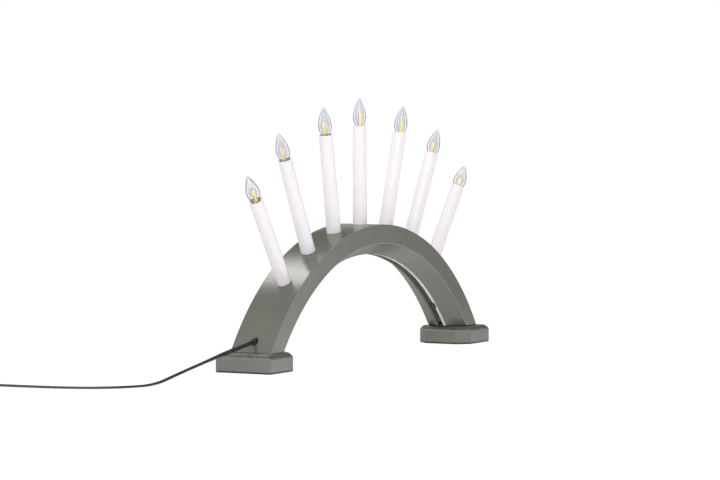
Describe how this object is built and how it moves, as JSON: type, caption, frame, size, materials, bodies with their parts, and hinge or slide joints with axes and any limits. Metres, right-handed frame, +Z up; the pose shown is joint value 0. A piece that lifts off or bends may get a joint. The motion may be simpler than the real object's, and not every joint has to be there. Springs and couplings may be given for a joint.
{
  "type": "electric candle arch",
  "caption": "Painted wooden candle arch on bevelled feet, with candle tubes, screw-in flame-shaped lamps, wiring in a groove under the bow, and a mains lead with its plug.",
  "frame": {"origin": "on the table, midway between the feet and midway through the depth of the bow", "axes": "+X along the bow, away from the leg that the lead leaves; +Y to the back; +Z up"},
  "size_m": [0.7181, 0.2778, 0.2691],
  "materials": {
    "bow": "semi-gloss grey-green paint on wood",
    "feet": "semi-gloss grey-green paint over faint wood grain",
    "felt": "dark felt",
    "screws": "zinc-plated steel",
    "candle_plastic": "satin off-white plastic",
    "holder": "matt off-white insulating plastic",
    "holder_brass": "stamped brass",
    "lead_insulation": "dark brown wire insulation",
    "splice": "black shrink sleeve",
    "cord": "satin black cable sheath",
    "bush": "matt black rubber",
    "plug": "satin black moulding",
    "pins": "nickel-plated brass",
    "lamp_metal": "dull plated screw cap",
    "lamp_bead": "black glass bead with a solder tip",
    "lamp_glass": "clear glass",
    "filament": "amber lamp stick"
  },
  "bodies": {
    "arch": {"arch_bow": "bow", "left_foot": "feet", "right_foot": "feet", "left_foot_pad": "felt", "right_foot_pad": "felt", "foot_screws": "screws", "holder_shells": "holder_brass", "holder_rivets": "holder_brass", "candle_leads": "lead_insulation", "groove_wires": "lead_insulation", "wire_splice": "splice", "cord_bush": "bush", "cord_tail": "cord", "mains_cord": "cord", "cord_coil": "cord", "plug_body": "plug", "plug_pins": "pins", "candle_tube_1": "candle_plastic", "lampholder_1": "holder", "candle_tube_2": "candle_plastic", "lampholder_2": "holder", "candle_tube_3": "candle_plastic", "lampholder_3": "holder", "candle_tube_4": "candle_plastic", "lampholder_4": "holder", "candle_tube_5": "candle_plastic", "lampholder_5": "holder", "candle_tube_6": "candle_plastic", "lampholder_6": "holder", "candle_tube_7": "candle_plastic", "lampholder_7": "holder"},
    "lamp_1_lift": {"lamp_contact_1": "lamp_bead"},
    "lamp_1": {"lamp_cap_1": "lamp_metal", "lamp_glass_1": "lamp_glass", "lamp_filament_1": "filament"},
    "lamp_2_lift": {"lamp_contact_2": "lamp_bead"},
    "lamp_2": {"lamp_cap_2": "lamp_metal", "lamp_glass_2": "lamp_glass", "lamp_filament_2": "filament"},
    "lamp_3_lift": {"lamp_contact_3": "lamp_bead"},
    "lamp_3": {"lamp_cap_3": "lamp_metal", "lamp_glass_3": "lamp_glass", "lamp_filament_3": "filament"},
    "lamp_4_lift": {"lamp_contact_4": "lamp_bead"},
    "lamp_4": {"lamp_cap_4": "lamp_metal", "lamp_glass_4": "lamp_glass", "lamp_filament_4": "filament"},
    "lamp_5_lift": {"lamp_contact_5": "lamp_bead"},
    "lamp_5": {"lamp_cap_5": "lamp_metal", "lamp_glass_5": "lamp_glass", "lamp_filament_5": "filament"},
    "lamp_6_lift": {"lamp_contact_6": "lamp_bead"},
    "lamp_6": {"lamp_cap_6": "lamp_metal", "lamp_glass_6": "lamp_glass", "lamp_filament_6": "filament"},
    "lamp_7_lift": {"lamp_contact_7": "lamp_bead"},
    "lamp_7": {"lamp_cap_7": "lamp_metal", "lamp_glass_7": "lamp_glass", "lamp_filament_7": "filament"}
  },
  "joints": [
    {"name": "lamp_1_rise", "type": "slide", "parent": "arch", "child": "lamp_1_lift", "axis": [-0.5806, -0.0157, 0.8141], "range_m": [0, 0.0091]},
    {"name": "lamp_1_turn", "type": "hinge", "parent": "lamp_1_lift", "child": "lamp_1", "pos_m": [-0.21889, -0.00157, 0.16763], "axis": [-0.5806, -0.0157, 0.8141], "range_deg": [0, 1800]},
    {"name": "lamp_2_rise", "type": "slide", "parent": "arch", "child": "lamp_2_lift", "axis": [-0.4011, 0.0366, 0.9153], "range_m": [0, 0.0091]},
    {"name": "lamp_2_turn", "type": "hinge", "parent": "lamp_2_lift", "child": "lamp_2", "pos_m": [-0.15128, 0.00366, 0.20594], "axis": [-0.4011, 0.0366, 0.9153], "range_deg": [0, 1800]},
    {"name": "lamp_3_rise", "type": "slide", "parent": "arch", "child": "lamp_3_lift", "axis": [-0.205, -0.0192, 0.9786], "range_m": [0, 0.0091]},
    {"name": "lamp_3_turn", "type": "hinge", "parent": "lamp_3_lift", "child": "lamp_3", "pos_m": [-0.07729, -0.00192, 0.22967], "axis": [-0.205, -0.0192, 0.9786], "range_deg": [0, 1800]},
    {"name": "lamp_4_rise", "type": "slide", "parent": "arch", "child": "lamp_4_lift", "axis": [0, 0.0052, 1], "range_m": [0, 0.0091]},
    {"name": "lamp_4_turn", "type": "hinge", "parent": "lamp_4_lift", "child": "lamp_4", "pos_m": [0, 0.00052, 0.2377], "axis": [0, 0.0052, 1], "range_deg": [0, 1800]},
    {"name": "lamp_5_rise", "type": "slide", "parent": "arch", "child": "lamp_5_lift", "axis": [0.2047, -0.0576, 0.9771], "range_m": [0, 0.0091]},
    {"name": "lamp_5_turn", "type": "hinge", "parent": "lamp_5_lift", "child": "lamp_5", "pos_m": [0.07726, -0.00576, 0.22953], "axis": [0.2047, -0.0576, 0.9771], "range_deg": [0, 1800]},
    {"name": "lamp_6_rise", "type": "slide", "parent": "arch", "child": "lamp_6_lift", "axis": [0.4007, -0.0576, 0.9144], "range_m": [0, 0.0091]},
    {"name": "lamp_6_turn", "type": "hinge", "parent": "lamp_6_lift", "child": "lamp_6", "pos_m": [0.15124, -0.00576, 0.20585], "axis": [0.4007, -0.0576, 0.9144], "range_deg": [0, 1800]},
    {"name": "lamp_7_rise", "type": "slide", "parent": "arch", "child": "lamp_7_lift", "axis": [0.5804, -0.0297, 0.8138], "range_m": [0, 0.0091]},
    {"name": "lamp_7_turn", "type": "hinge", "parent": "lamp_7_lift", "child": "lamp_7", "pos_m": [0.21887, -0.00297, 0.16761], "axis": [0.5804, -0.0297, 0.8138], "range_deg": [0, 1800]}
  ],
  "couplings": [
    {"joint": "lamp_1_rise", "follows": "lamp_1_turn", "m_per_rad": 0.00028871},
    {"joint": "lamp_2_rise", "follows": "lamp_2_turn", "m_per_rad": 0.00028871},
    {"joint": "lamp_3_rise", "follows": "lamp_3_turn", "m_per_rad": 0.00028871},
    {"joint": "lamp_4_rise", "follows": "lamp_4_turn", "m_per_rad": 0.00028871},
    {"joint": "lamp_5_rise", "follows": "lamp_5_turn", "m_per_rad": 0.00028871},
    {"joint": "lamp_6_rise", "follows": "lamp_6_turn", "m_per_rad": 0.00028871},
    {"joint": "lamp_7_rise", "follows": "lamp_7_turn", "m_per_rad": 0.00028871}
  ]
}
